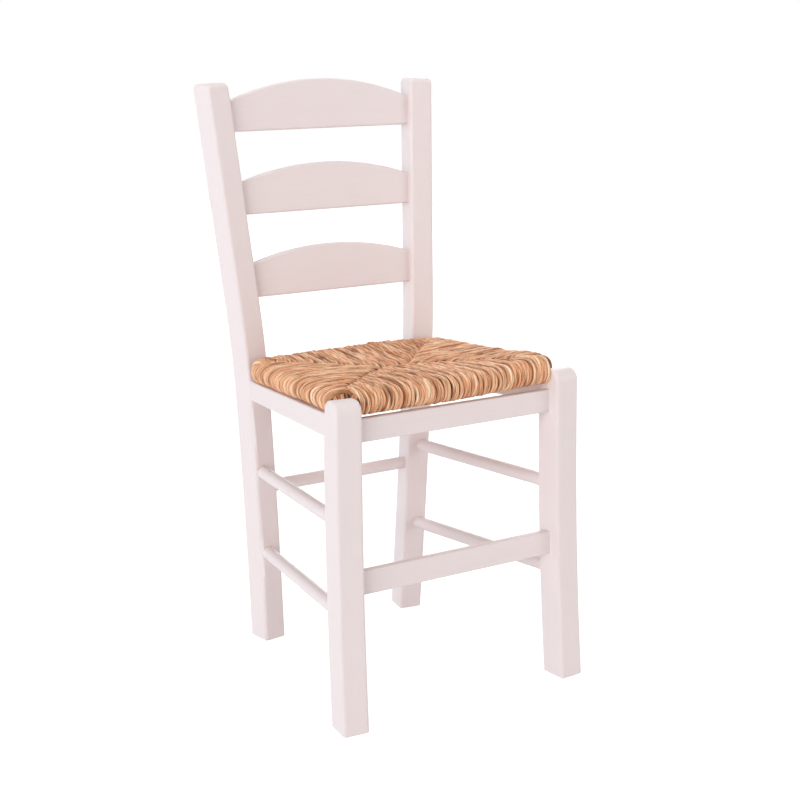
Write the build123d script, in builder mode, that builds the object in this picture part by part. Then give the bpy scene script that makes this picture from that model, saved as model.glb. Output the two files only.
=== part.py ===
from build123d import *
import os
from math import atan2, cos, radians, sin, sqrt, tan

# A painted ladder-back chair with a rush seat, in millimetres. +Z is up and the sitter looks along -Y.
# Left and right are those of a viewer in front of the chair. The origin is on the floor under its middle.

# Setting out. The legs and posts are placed by their centres at this height.
post_height = 880
set_out_height = 400
front_width = 360
rear_width = 298
seat_depth = 346

# Front legs: square, turned a little outward, upright above, kicked forward below, shaved at the top behind.
leg_width = 40
leg_depth = 45
leg_height = 472
leg_turn = 4.7
leg_splay = 0.53
leg_kick = 15
leg_kick_height = 378
leg_top_round = 16
leg_shave = 6
leg_shave_height = 76

# Rear posts: turned a little inward, leaning outward, raked back above the seat and swept back at the foot.
post_width = 38
post_depth = 44
post_turn = 8.9
post_lean = 2.86
post_rake = 6.9
post_bend_radius = 1260
post_foot_sweep = 10
post_top_round = 9

# Finish of the posts and legs.
edge_round = 5
foot_chamfer = 1
foot_straight = 40

# Seat rails. The side rails fall and narrow toward the back. The front rail is thin, in line with the legs.
side_rail_top_at_leg = 448.5
side_rail_top_at_post = 433
side_rail_height_at_leg = 33.5
side_rail_height_at_post = 30
side_rail_thickness = 22
side_rail_outset = 1
side_rail_clearance = 0.05
front_rail_top = 443
front_rail_height = 33.6
front_rail_thickness = 12
front_rail_setback = 0
rear_rail_height = 30
rear_rail_thickness = 20
rear_rail_setback = 4
rail_edge_round = 2.5

# Stretchers.
front_stretcher_bottom = 191.4
front_stretcher_height = 35.6
front_stretcher_thickness = 12
front_stretcher_setback = 0
stretcher_diameter = 20
upper_stretcher_at_leg = 295.5
upper_stretcher_at_post = 285.5
lower_stretcher_at_leg = 163
lower_stretcher_at_post = 151
rear_stretcher_level = 254.5

# Back slats: the lower one above the rails, the top one under the posts' tops, one halfway between.
lower_slat_rise = 124
top_slat_drop = 73
slat_height = 73.4
slat_crown_radius = 455
top_slat_height = 76
top_slat_crown_radius = 415
slat_thickness = 15
slat_edge_round = 3

# Joints: oblong tenons on the flat pieces, round ones on the stretchers.
rail_tenon_height = 20
rail_tenon_thickness = 8
slat_tenon_height = 32
slat_tenon_thickness = 8
round_tenon_diameter = 15
tenon_depth = 16
joint_clearance = 0.15

# Rush seat. Its outline is that of the rounded edge, measured on the slope of the side rails.
rush_front = -12
rush_rear_gap = 2
rush_half_width_front = 191
rush_half_width_rear = 171
rush_leg_gap = 1.2
rush_edge_height = 38
rush_middle_height = 31
rush_thickness = 8
seam_meeting_half_width = 31

# Seat frame and stuffing inside the rush.
bar_width = 24
bar_height = 20
bar_tenon_diameter = 10
bar_tenon_depth = 12
corner_block_reach = 45
corner_block_height = 16
inside_clearance = 0.2

# Seat screws, from below through the side rails into the side bars.
screw_depths = (75, 245)
screw_head_diameter = 8
screw_head_height = 3
screw_diameter = 4.5
screw_grip = 14
screw_counterbore_diameter = 9
screw_counterbore_depth = 12
screw_hole_clearance = 0.1

UP = Vector(0, 0, 1)


def directions(turn):
    """The outward and backward directions of an upright on the right, turned about the vertical."""
    out = Vector(cos(radians(turn)), sin(radians(turn)), 0)
    back = Vector(-sin(radians(turn)), cos(radians(turn)), 0)
    return out, back


def upright_plane(x, y, turn, lean):
    """The plane an upright bends in: its x axis points back, its y axis up the piece from the floor."""
    out, back = directions(turn)
    up = UP * cos(radians(lean)) + out * sin(radians(lean))
    foot = Vector(x, y, set_out_height) - up * (set_out_height / cos(radians(lean)))
    return Plane(origin=foot, x_dir=back, z_dir=back.cross(up))


def plan_reach(width, depth, turn):
    """How far an eased, turned section reaches from its centre toward the front or the back."""
    c, s = cos(radians(turn)), sin(radians(turn))
    return depth / 2 * c + width / 2 * s - edge_round * (c + s - 1)


def bar_plane(start, end, up=UP):
    """The section plane of a straight piece: its z axis runs along the piece, its y axis points up."""
    along = (end - start).normalized()
    return Plane(origin=start, x_dir=up.cross(along), z_dir=along)


def leg_offset(height):
    """How far the leg's centre line lies behind its upright part at a height along the leg."""
    return -leg_kick * (max(0, leg_kick_height - height) / leg_kick_height) ** 2


bend_top = set_out_height + post_bend_radius * sin(radians(post_rake))
bend_set = post_bend_radius * (1 - cos(radians(post_rake)))


def post_offset(height):
    """How far the post's centre line lies behind its place at the setting-out height."""
    if height < set_out_height:
        return post_foot_sweep * ((set_out_height - height) / set_out_height) ** 2
    if height < bend_top:
        return post_bend_radius - sqrt(post_bend_radius**2 - (height - set_out_height) ** 2)
    return bend_set + (height - bend_top) * tan(radians(post_rake))


# The chair is centred on the origin from the front of the front feet to the back of the post tops.
back_rise = post_height - post_top_round
back_reach = (
    post_offset(back_rise) * cos(radians(post_turn))
    - (back_rise - set_out_height) * tan(radians(post_lean)) * sin(radians(post_turn))
    + plan_reach(post_width, post_depth, post_turn)
)
foot_reach = leg_kick + plan_reach(leg_width, leg_depth, leg_turn)
leg_y = -(seat_depth + back_reach - foot_reach) / 2
post_y = leg_y + seat_depth

leg_plane = upright_plane(front_width / 2, leg_y, leg_turn, -leg_splay)
post_plane = upright_plane(rear_width / 2, post_y, -post_turn, post_lean)
leg_out, leg_back = directions(leg_turn)
post_out, post_back = directions(-post_turn)


def leg_centre(z):
    """A point on the right leg's centre line."""
    height = z / cos(radians(leg_splay))
    return leg_plane.from_local_coords(Vector(leg_offset(height), height, 0))


def post_centre(z):
    """A point on the right post's centre line."""
    height = z / cos(radians(post_lean))
    return post_plane.from_local_coords(Vector(post_offset(height), height, 0))


def mirrored(point):
    """The same point on the left of the chair."""
    return Vector(-point.X, point.Y, point.Z)


def eased_edges(builder):
    """The long edges of an upright: the outlines of its two sides, without the foot."""
    faces = builder.faces().sort_by(Axis.X)
    return [e for face in (faces[0], faces[-1]) for e in face.edges() if e.bounding_box().max.Z > edge_round]


# Front leg on the right, before its mortises. Below the ankle it is straight.
leg_ankle = (leg_offset(foot_straight), foot_straight)
with BuildPart() as leg_blank:
    with BuildSketch(leg_plane) as leg_side:
        with BuildLine():
            Line((0, leg_kick_height), (0, leg_height))
            kick = TangentArc((0, leg_kick_height), leg_ankle, tangent=(0, -1))
            Line(kick @ 1, kick @ 1 + (kick % 1) * 2 * foot_straight)
        trace(line_width=leg_depth)
        with BuildLine():
            Polyline(
                (leg_depth / 2, leg_height - leg_shave_height),
                (leg_depth / 2, leg_height),
                (leg_depth / 2 - leg_shave, leg_height),
                close=True,
            )
        make_face(mode=Mode.SUBTRACT)
        fillet(leg_side.vertices().group_by(Axis.Y)[-1], leg_top_round)
    extrude(amount=leg_width / 2, both=True)
    split(bisect_by=Plane.XY, keep=Keep.TOP)
    fillet(eased_edges(leg_blank), edge_round)
    chamfer(leg_blank.faces().sort_by(Axis.Z)[0].edges(), foot_chamfer)

# Rear post on the right, before its mortises. Its top is level from front to back.
post_top = (post_height - post_width / 2 * sin(radians(post_lean))) / cos(radians(post_lean))
post_ankle = (post_offset(foot_straight), foot_straight)
with BuildPart() as post_blank:
    with BuildSketch(post_plane) as post_side:
        with BuildLine():
            TangentArc((0, set_out_height), (bend_set, bend_top), tangent=(0, 1))
            Line((bend_set, bend_top), (post_offset(post_top + post_depth), post_top + post_depth))
            sweep = TangentArc((0, set_out_height), post_ankle, tangent=(0, -1))
            Line(sweep @ 1, sweep @ 1 + (sweep % 1) * 2 * foot_straight)
        trace(line_width=post_depth)
        with Locations((post_offset(post_top), post_top)):
            Rectangle(3 * post_depth, 3 * post_depth, align=(Align.CENTER, Align.MIN), mode=Mode.SUBTRACT)
        fillet(post_side.vertices().group_by(Axis.Y)[-1], post_top_round)
    extrude(amount=post_width / 2, both=True)
    split(bisect_by=Plane.XY, keep=Keep.TOP)
    fillet(eased_edges(post_blank), edge_round)
    chamfer(post_blank.faces().sort_by(Axis.Z)[0].edges(), foot_chamfer)

with BuildPart() as left_leg_blank:
    mirror(leg_blank.part, about=Plane.YZ)

with BuildPart() as left_post_blank:
    mirror(post_blank.part, about=Plane.YZ)


def flat_tenons(plane, length, tips, height, thickness, clearance=0):
    """The oblong tenons at both ends of a flat piece, as one rod from tip to tip."""
    with BuildPart() as rod:
        with BuildSketch(plane.offset(tips[0] - clearance)):
            SlotOverall(height + 2 * clearance, thickness + 2 * clearance, rotation=90)
        extrude(amount=length - sum(tips) + 2 * clearance)
    return rod.part


def round_tenons(plane, length, tips, diameter, clearance=0):
    """The round tenons at both ends of a stretcher, as one rod from tip to tip."""
    with BuildPart() as rod:
        with BuildSketch(plane.offset(tips[0] - clearance)):
            Circle(diameter / 2 + clearance)
        extrude(amount=length - sum(tips) + 2 * clearance)
    return rod.part


def flat_piece(joint, thickness, heights, ends):
    """A flat rail or stretcher of given heights at its ends, its shoulders scribed to the uprights there."""
    with BuildPart() as piece:
        with BuildSketch(joint["plane"]):
            RectangleRounded(thickness, heights[0], rail_edge_round)
        with BuildSketch(joint["plane"].offset(joint["length"])):
            RectangleRounded(thickness, heights[1], rail_edge_round)
        loft(ruled=True)
        for end in ends:
            add(end.part, mode=Mode.SUBTRACT)
        add(flat_tenons(**joint))
    return piece


def round_piece(joint, ends):
    """A round stretcher, its shoulders scribed to the uprights at its ends."""
    with BuildPart() as piece:
        with BuildSketch(joint["plane"]):
            Circle(stretcher_diameter / 2)
        extrude(amount=joint["length"])
        for end in ends:
            add(end.part, mode=Mode.SUBTRACT)
        add(round_tenons(**joint))
    return piece


# How far short of an upright's centre line each tenon stops.
leg_side_tip = leg_width / 2 - tenon_depth
leg_back_tip = leg_depth / 2 - tenon_depth
post_side_tip = post_width / 2 - tenon_depth
post_front_tip = post_depth / 2 - tenon_depth

# Side rail on the right.
side_rail_heights = (side_rail_height_at_leg, side_rail_height_at_post)
side_rail_at_leg = side_rail_top_at_leg - side_rail_clearance - side_rail_height_at_leg / 2
side_rail_at_post = side_rail_top_at_post - side_rail_clearance - side_rail_height_at_post / 2
side_rail_start = leg_centre(side_rail_at_leg) + leg_out * side_rail_outset
side_rail_end = post_centre(side_rail_at_post) + post_out * side_rail_outset
side_rail_joint = dict(
    plane=bar_plane(side_rail_start, side_rail_end),
    length=(side_rail_end - side_rail_start).length,
    tips=(leg_back_tip, post_front_tip),
    height=rail_tenon_height,
    thickness=rail_tenon_thickness,
)
side_rail_blank = flat_piece(side_rail_joint, side_rail_thickness, side_rail_heights, (leg_blank, post_blank))

# Front rail and front stretcher, between the legs.
front_rail_end = leg_centre(front_rail_top - front_rail_height / 2) + leg_back * front_rail_setback
front_rail_joint = dict(
    plane=bar_plane(mirrored(front_rail_end), front_rail_end),
    length=2 * front_rail_end.X,
    tips=(leg_side_tip, leg_side_tip),
    height=rail_tenon_height,
    thickness=rail_tenon_thickness,
)
front_seat_rail = flat_piece(
    front_rail_joint, front_rail_thickness, (front_rail_height,) * 2, (leg_blank, left_leg_blank)
)
front_stretcher_level = front_stretcher_bottom + front_stretcher_height / 2
front_stretcher_end = leg_centre(front_stretcher_level) + leg_back * front_stretcher_setback
front_stretcher_joint = dict(
    plane=bar_plane(mirrored(front_stretcher_end), front_stretcher_end),
    length=2 * front_stretcher_end.X,
    tips=(leg_side_tip, leg_side_tip),
    height=rail_tenon_height,
    thickness=rail_tenon_thickness,
)
front_stretcher = flat_piece(
    front_stretcher_joint,
    front_stretcher_thickness,
    (front_stretcher_height,) * 2,
    (leg_blank, left_leg_blank),
)

# Rear rail, between the posts, level with the back ends of the side rails.
rear_rail_end = post_centre(side_rail_top_at_post - rear_rail_height / 2) + post_back * rear_rail_setback
rear_rail_joint = dict(
    plane=bar_plane(mirrored(rear_rail_end), rear_rail_end),
    length=2 * rear_rail_end.X,
    tips=(post_side_tip, post_side_tip),
    height=rail_tenon_height,
    thickness=rail_tenon_thickness,
)
rear_seat_rail = flat_piece(
    rear_rail_joint, rear_rail_thickness, (rear_rail_height,) * 2, (post_blank, left_post_blank)
)

# Round stretchers.
rear_stretcher_end = post_centre(rear_stretcher_level)
rear_stretcher_joint = dict(
    plane=bar_plane(mirrored(rear_stretcher_end), rear_stretcher_end),
    length=2 * rear_stretcher_end.X,
    tips=(post_side_tip, post_side_tip),
    diameter=round_tenon_diameter,
)
rear_stretcher = round_piece(rear_stretcher_joint, (post_blank, left_post_blank))


def side_stretcher(level_at_leg, level_at_post):
    """Where a side stretcher on the right runs, and its tenons."""
    start, end = leg_centre(level_at_leg), post_centre(level_at_post)
    return dict(
        plane=bar_plane(start, end),
        length=(end - start).length,
        tips=(leg_back_tip, post_front_tip),
        diameter=round_tenon_diameter,
    )


upper_stretcher_joint = side_stretcher(upper_stretcher_at_leg, upper_stretcher_at_post)
upper_stretcher = round_piece(upper_stretcher_joint, (leg_blank, post_blank))
lower_stretcher_joint = side_stretcher(lower_stretcher_at_leg, lower_stretcher_at_post)
lower_stretcher = round_piece(lower_stretcher_joint, (leg_blank, post_blank))

# Back slats: a straight lower edge, an arched upper edge, ends let into the posts.
lower_slat_level = side_rail_top_at_post + lower_slat_rise
top_slat_level = post_height - top_slat_drop
middle_slat_level = (lower_slat_level + top_slat_level + (top_slat_height - slat_height) / 2) / 2
slat_shapes = {
    "lower_slat": (lower_slat_level, slat_height, slat_crown_radius),
    "middle_slat": (middle_slat_level, slat_height, slat_crown_radius),
    "top_slat": (top_slat_level, top_slat_height, top_slat_crown_radius),
}
slats = {}
slat_joints = {}
for slat_name, (slat_level, crown_height, crown_radius) in slat_shapes.items():
    low = post_centre(slat_level)
    high = post_centre(slat_level + crown_height)
    slat_up = Vector(0, high.Y - low.Y, high.Z - low.Z).normalized()
    half_length = high.X
    shoulder = crown_height - crown_radius + sqrt(crown_radius**2 - half_length**2)
    tenon_end = post_centre(slat_level + shoulder / 2)
    slat_joints[slat_name] = dict(
        plane=bar_plane(mirrored(tenon_end), tenon_end, slat_up),
        length=2 * tenon_end.X,
        tips=(post_side_tip, post_side_tip),
        height=slat_tenon_height,
        thickness=slat_tenon_thickness,
    )
    with BuildPart() as slat:
        with BuildSketch(Plane((0, low.Y, low.Z), x_dir=(1, 0, 0), z_dir=Vector(1, 0, 0).cross(slat_up))):
            with BuildLine():
                Line((-half_length, shoulder), (-half_length, 0))
                Line((-half_length, 0), (half_length, 0))
                Line((half_length, 0), (half_length, shoulder))
                ThreePointArc((-half_length, shoulder), (0, crown_height), (half_length, shoulder))
            make_face()
        extrude(amount=slat_thickness / 2, both=True)
        fillet([e for e in slat.edges() if e.length > half_length], slat_edge_round)
        add(post_blank.part, mode=Mode.SUBTRACT)
        add(left_post_blank.part, mode=Mode.SUBTRACT)
        add(flat_tenons(**slat_joints[slat_name]))
    slats[slat_name] = slat

# Leg and post on the right, with their mortises and bores.
with BuildPart() as front_leg:
    add(leg_blank.part)
    for joint in (side_rail_joint, front_rail_joint, front_stretcher_joint):
        add(flat_tenons(**joint, clearance=joint_clearance), mode=Mode.SUBTRACT)
    for joint in (upper_stretcher_joint, lower_stretcher_joint):
        add(round_tenons(**joint, clearance=joint_clearance), mode=Mode.SUBTRACT)

with BuildPart() as rear_post:
    add(post_blank.part)
    for joint in (side_rail_joint, rear_rail_joint, *slat_joints.values()):
        add(flat_tenons(**joint, clearance=joint_clearance), mode=Mode.SUBTRACT)
    for joint in (upper_stretcher_joint, lower_stretcher_joint, rear_stretcher_joint):
        add(round_tenons(**joint, clearance=joint_clearance), mode=Mode.SUBTRACT)

# The seat's own plane lies on the side rails: x across, y back from the legs' centres, z off the rails.
seat_slope = atan2(side_rail_top_at_leg - side_rail_top_at_post, seat_depth)
seat_plane = Plane(
    origin=(0, leg_y, side_rail_top_at_leg), x_dir=(1, 0, 0), z_dir=(0, sin(seat_slope), cos(seat_slope))
)
rush_rear = seat_depth - plan_reach(post_width, post_depth, post_turn) - rush_rear_gap
seam_meeting_depth = seat_depth / 2
notch_x = front_width / 2 - (leg_width * leg_out.X - leg_depth * leg_back.X) / 2 - rush_leg_gap
notch_y = (leg_width * leg_out.Y + leg_depth * leg_back.Y) / 2 + rush_leg_gap


def half_width(depth):
    """Half the seat's width at a depth behind the legs' centres."""
    share = (depth - notch_y) / (rush_rear - notch_y)
    return rush_half_width_front + (rush_half_width_rear - rush_half_width_front) * share


def edge_plane(start, end):
    """A section plane at one edge of the seat: its x axis points inward, its z axis along the edge."""
    first = seat_plane.from_local_coords(Vector(*start, 0))
    last = seat_plane.from_local_coords(Vector(*end, 0))
    along = (last - first).normalized()
    return Plane(origin=first, x_dir=seat_plane.z_dir.cross(along), z_dir=along)


def rush_panel(start, end, outline):
    """One wound panel: a rounded edge, an upper layer falling inward, a lower layer, cut at its seams."""
    run = sqrt((end[0] - start[0]) ** 2 + (end[1] - start[1]) ** 2)
    reach = max(rush_half_width_front, seam_meeting_depth - rush_front)
    outer = rush_edge_height / 2
    under = rush_edge_height - rush_thickness
    fall = (rush_edge_height - rush_middle_height) / (seam_meeting_depth - rush_front - outer)
    low = rush_edge_height - fall * (reach - outer)
    with BuildPart() as panel:
        with BuildSketch(edge_plane(start, end)):
            with BuildLine():
                ThreePointArc((outer, 0), (0, outer), (outer, rush_edge_height))
                Line((outer, rush_edge_height), (reach, low))
                Line((reach, low), (reach, low - rush_thickness))
                Line((reach, low - rush_thickness), (outer, under))
                ThreePointArc((outer, under), (rush_thickness, outer), (outer, rush_thickness))
                Polyline((outer, rush_thickness), (reach, rush_thickness), (reach, 0), (outer, 0))
            make_face()
        extrude(amount=run)
        with BuildSketch(seat_plane.offset(-rush_thickness)):
            with BuildLine():
                Polyline(*outline, close=True)
            make_face()
        extrude(amount=2 * rush_edge_height, mode=Mode.INTERSECT)
    return panel


# The corners and seams of the rush, on the right.
notch = (notch_x, notch_y)
side_front = (rush_half_width_front, notch_y)
rear_corner = (rush_half_width_rear, rush_rear)
meeting = (seam_meeting_half_width, seam_meeting_depth)


def left_of(point):
    """The matching corner on the left of the seat."""
    return (-point[0], point[1])


side_panel_blank = rush_panel(side_front, rear_corner, [notch, side_front, rear_corner, meeting])
front_left = (-notch_x, rush_front)
front_right = (notch_x, rush_front)
rush_front_panel = rush_panel(
    front_left, front_right, [front_left, front_right, notch, meeting, left_of(meeting), left_of(notch)]
)
rush_rear_panel = rush_panel(
    rear_corner, left_of(rear_corner), [meeting, rear_corner, left_of(rear_corner), left_of(meeting)]
)

# Seat frame inside the rush. The bars' outer edges are half round for the winding.
bar_edge = rush_thickness + inside_clearance
bar_middle = rush_edge_height / 2
bar_low = bar_middle - bar_height / 2


def frame_bar(plane, length):
    """A bar of the seat frame along one edge of the seat."""
    with BuildPart() as bar:
        with BuildSketch(plane):
            with Locations((bar_edge + bar_height / 2, bar_middle)):
                Circle(bar_height / 2)
                Rectangle(bar_width - bar_height / 2, bar_height, align=(Align.MIN, Align.CENTER))
        extrude(amount=length)
    return bar


bar_inset = bar_edge + bar_width
side_bar_front = notch_y + rush_thickness
side_bar_rear = rush_rear - bar_edge
side_bar_plane = edge_plane(
    (half_width(side_bar_front), side_bar_front), (half_width(side_bar_rear), side_bar_rear)
)
side_bar_blank = frame_bar(side_bar_plane, side_bar_rear - side_bar_front)
with BuildPart() as right_bar_blank:
    add(side_bar_blank.part)
    add(rush_rear_panel.part, mode=Mode.SUBTRACT)
with BuildPart() as left_bar_blank:
    mirror(right_bar_blank.part, about=Plane.YZ)

front_bar_half = notch_x - rush_thickness
seat_frame_front_bar = frame_bar(
    edge_plane((-front_bar_half, rush_front), (front_bar_half, rush_front)), 2 * front_bar_half
)

# The rear bar is tenoned between the side bars.
rear_bar_depth = rush_rear - bar_edge - bar_width / 2
rear_bar_half = half_width(rear_bar_depth) - bar_inset
rear_tenon_tip = rear_bar_half + bar_tenon_depth
rear_tenon_plane = bar_plane(
    seat_plane.from_local_coords(Vector(-rear_tenon_tip, rear_bar_depth, bar_middle)),
    seat_plane.from_local_coords(Vector(rear_tenon_tip, rear_bar_depth, bar_middle)),
)
rear_tenons = dict(
    plane=rear_tenon_plane, length=2 * rear_tenon_tip, tips=(0, 0), diameter=bar_tenon_diameter
)
rear_bar_blank = frame_bar(
    edge_plane((rear_tenon_tip, rush_rear), (-rear_tenon_tip, rush_rear)), 2 * rear_tenon_tip
)
with BuildPart() as seat_frame_rear_bar:
    add(rear_bar_blank.part)
    add(right_bar_blank.part, mode=Mode.SUBTRACT)
    add(left_bar_blank.part, mode=Mode.SUBTRACT)
    add(round_tenons(**rear_tenons))

# Corner block on the right, glued into the angle behind the leg.
front_bar_back = rush_front + bar_inset
block_outline = [
    (front_bar_half - corner_block_reach, front_bar_back),
    (front_bar_half, front_bar_back),
    (half_width(side_bar_front) - bar_inset, side_bar_front),
    (half_width(side_bar_front + corner_block_reach) - bar_inset, side_bar_front + corner_block_reach),
]
with BuildPart() as corner_block:
    with BuildSketch(seat_plane.offset(bar_low)):
        with BuildLine():
            Polyline(*block_outline, close=True)
        make_face()
    extrude(amount=corner_block_height)
    add(right_bar_blank.part, mode=Mode.SUBTRACT)

# Stuffing between the bars and the corner blocks.
stuffing_half_front = block_outline[0][0] - inside_clearance
stuffing_side = (block_outline[3][0] - inside_clearance, block_outline[3][1] + inside_clearance)
stuffing_rear_depth = rush_rear - bar_inset - inside_clearance
stuffing_rear = (half_width(stuffing_rear_depth) - bar_inset - inside_clearance, stuffing_rear_depth)
stuffing_front = (stuffing_half_front, front_bar_back + inside_clearance)
stuffing_top = rush_middle_height - rush_thickness - inside_clearance
with BuildPart() as rush_stuffing:
    with BuildSketch(seat_plane.offset(bar_low)):
        with BuildLine():
            Polyline(
                stuffing_front,
                stuffing_side,
                stuffing_rear,
                left_of(stuffing_rear),
                left_of(stuffing_side),
                left_of(stuffing_front),
                close=True,
            )
        make_face()
    extrude(amount=stuffing_top - bar_low)

# Seat screws on the right: a head in the rail's counterbore, a shank through rail and rush into the side bar.
rail_run = atan2(front_width - rear_width, 2 * seat_depth)


def screw_place(depth):
    """Where a screw stands: between the middle of the rail and the middle of the bar above it."""
    rail_middle = side_rail_start.X - depth * tan(rail_run)
    bar_centre = half_width(depth) - bar_edge - bar_width / 2
    return ((rail_middle + bar_centre) / 2, depth)


screw_places = [screw_place(depth) for depth in screw_depths]
screw_seat = screw_counterbore_depth - side_rail_height_at_post
screw_tip = bar_low + screw_grip


def screw_bore(places, diameter, low, high):
    """Round bores at the screws, between two levels off the rails' top."""
    with BuildPart() as bore:
        with BuildSketch(seat_plane.offset(low)):
            with Locations(*places):
                Circle(diameter / 2)
        extrude(amount=high - low)
    return bore.part


screw_hole = screw_diameter + 2 * screw_hole_clearance
with BuildPart() as right_seat_screws:
    add(screw_bore(screw_places, screw_head_diameter, screw_seat - screw_head_height, screw_seat))
    add(screw_bore(screw_places, screw_diameter, screw_seat, screw_tip))

with BuildPart() as seat_screws:
    add(right_seat_screws.part)
    mirror(right_seat_screws.part, about=Plane.YZ)

with BuildPart() as side_seat_rail:
    add(side_rail_blank.part)
    add(screw_bore(screw_places, screw_hole, screw_seat - rail_edge_round, bar_low), mode=Mode.SUBTRACT)
    add(
        screw_bore(screw_places, screw_counterbore_diameter, -2 * side_rail_height_at_leg, screw_seat),
        mode=Mode.SUBTRACT,
    )

with BuildPart() as rush_side_panel:
    add(side_panel_blank.part)
    add(screw_bore(screw_places, screw_hole, -rush_thickness, 2 * rush_thickness), mode=Mode.SUBTRACT)

with BuildPart() as seat_frame_side_bar:
    add(right_bar_blank.part)
    add(round_tenons(**rear_tenons, clearance=joint_clearance), mode=Mode.SUBTRACT)
    add(screw_bore(screw_places, screw_hole, 0, screw_tip + screw_hole_clearance), mode=Mode.SUBTRACT)

# One file for each piece. What is on the right has its mirror image on the left.
os.makedirs("parts", exist_ok=True)

single_pieces = {
    **slats,
    "front_seat_rail": front_seat_rail,
    "rear_seat_rail": rear_seat_rail,
    "front_stretcher": front_stretcher,
    "rear_stretcher": rear_stretcher,
    "seat_frame_front_bar": seat_frame_front_bar,
    "seat_frame_rear_bar": seat_frame_rear_bar,
    "rush_front_panel": rush_front_panel,
    "rush_rear_panel": rush_rear_panel,
    "rush_stuffing": rush_stuffing,
    "seat_screws": seat_screws,
}
for piece_name, piece in single_pieces.items():
    piece.part.label = piece_name
    export_step(piece.part, f"parts/{piece_name}.step")

paired_pieces = {
    "front_leg_{}": front_leg,
    "rear_post_{}": rear_post,
    "{}_seat_rail": side_seat_rail,
    "upper_{}_stretcher": upper_stretcher,
    "lower_{}_stretcher": lower_stretcher,
    "seat_frame_{}_bar": seat_frame_side_bar,
    "seat_corner_block_{}": corner_block,
    "rush_{}_panel": rush_side_panel,
}
for pattern, piece in paired_pieces.items():
    with BuildPart() as twin:
        mirror(piece.part, about=Plane.YZ)
    for side, body in (("right", piece), ("left", twin)):
        body.part.label = pattern.format(side)
        export_step(body.part, f"parts/{pattern.format(side)}.step")
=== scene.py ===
import math
import random

import bpy
import numpy as np
from mathutils import Matrix, Vector


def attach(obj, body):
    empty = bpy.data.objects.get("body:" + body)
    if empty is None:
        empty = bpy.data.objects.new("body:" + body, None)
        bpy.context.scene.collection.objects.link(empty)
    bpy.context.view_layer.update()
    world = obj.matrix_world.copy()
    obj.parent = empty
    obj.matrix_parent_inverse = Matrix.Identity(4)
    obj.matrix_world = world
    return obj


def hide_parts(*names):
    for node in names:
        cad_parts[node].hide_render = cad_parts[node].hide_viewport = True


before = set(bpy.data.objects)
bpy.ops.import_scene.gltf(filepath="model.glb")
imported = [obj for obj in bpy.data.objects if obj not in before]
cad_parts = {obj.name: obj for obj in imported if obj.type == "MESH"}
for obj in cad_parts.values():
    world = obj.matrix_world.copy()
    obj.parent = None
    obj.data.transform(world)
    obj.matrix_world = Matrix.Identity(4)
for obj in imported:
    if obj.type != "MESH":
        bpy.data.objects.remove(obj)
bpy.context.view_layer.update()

# A white-painted ladder-back chair with a wound rush seat. Blender works in metres, the seat's layout in mm.
draw = random.Random(7)
MM_PER_M = 1000
FULL_TURN = 2 * math.pi


# Small helpers for modelling and for materials.

def deselect():
    bpy.ops.object.select_all(action="DESELECT")


def dress(piece, material):
    piece.data.materials.clear()
    piece.data.materials.append(material)


def node(tree, kind, place=(0, 0), **settings):
    made = tree.nodes.new(kind)
    made.location = place
    for name, value in settings.items():
        setattr(made, name, value)
    return made


def wire(tree, start, end):
    tree.links.new(start, end)


def set_inputs(made, values):
    for name, value in values.items():
        made.inputs[name].default_value = value


def maths(tree, operation, first, second=None, place=(0, 0)):
    made = node(tree, "ShaderNodeMath", place, operation=operation)
    wire(tree, first, made.inputs[0])
    if isinstance(second, (int, float)):
        made.inputs[1].default_value = second
    elif second is not None:
        wire(tree, second, made.inputs[1])
    return made.outputs[0]


def spot(tree, x, y, z, place=(0, 0)):
    """A place in a texture, from three values."""
    made = node(tree, "ShaderNodeCombineXYZ", place)
    for socket, value in zip(made.inputs, (x, y, z)):
        wire(tree, value, socket)
    return made.outputs[0]


def noise(tree, vector, scale, detail=2, roughness=0.5, place=(0, 0)):
    made = node(tree, "ShaderNodeTexNoise", place, noise_dimensions="3D")
    set_inputs(made, {"Scale": scale, "Detail": detail, "Roughness": roughness})
    wire(tree, vector, made.inputs["Vector"])
    return made.outputs["Fac"]


def map_range(tree, value, source=(0, 1), target=(0, 1), kind="LINEAR", place=(0, 0)):
    made = node(tree, "ShaderNodeMapRange", place, interpolation_type=kind)
    limits = {"From Min": source[0], "From Max": source[1], "To Min": target[0], "To Max": target[1]}
    set_inputs(made, limits)
    wire(tree, value, made.inputs["Value"])
    return made.outputs[0]


def ramp(tree, value, stops, place=(0, 0)):
    """The colour at a value, between stops of value and colour."""
    made = node(tree, "ShaderNodeValToRGB", place)
    band = made.color_ramp
    while len(band.elements) < len(stops):
        band.elements.new(0.5)
    for element, (position, colour) in zip(band.elements, stops):
        element.position = position
        element.color = (*colour, 1)
    wire(tree, value, made.inputs[0])
    return made.outputs[0]


# The sockets of a mix node that hold its amount and its two colours, and the one that gives the result.
MIX_AMOUNT, MIX_FIRST, MIX_SECOND, MIX_RESULT = 0, 6, 7, 2


def times(tree, first, second, place=(0, 0)):
    """One colour multiplied by another."""
    made = node(tree, "ShaderNodeMix", place, data_type="RGBA", blend_type="MULTIPLY")
    made.inputs[MIX_AMOUNT].default_value = 1.0
    wire(tree, first, made.inputs[MIX_FIRST])
    wire(tree, second, made.inputs[MIX_SECOND])
    return made.outputs[MIX_RESULT]


def add_bump(tree, shader, height, strength, distance):
    bump = node(tree, "ShaderNodeBump", (300, -300))
    set_inputs(bump, {"Strength": strength, "Distance": distance})
    wire(tree, height, bump.inputs["Height"])
    wire(tree, bump.outputs[0], shader.inputs["Normal"])


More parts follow.
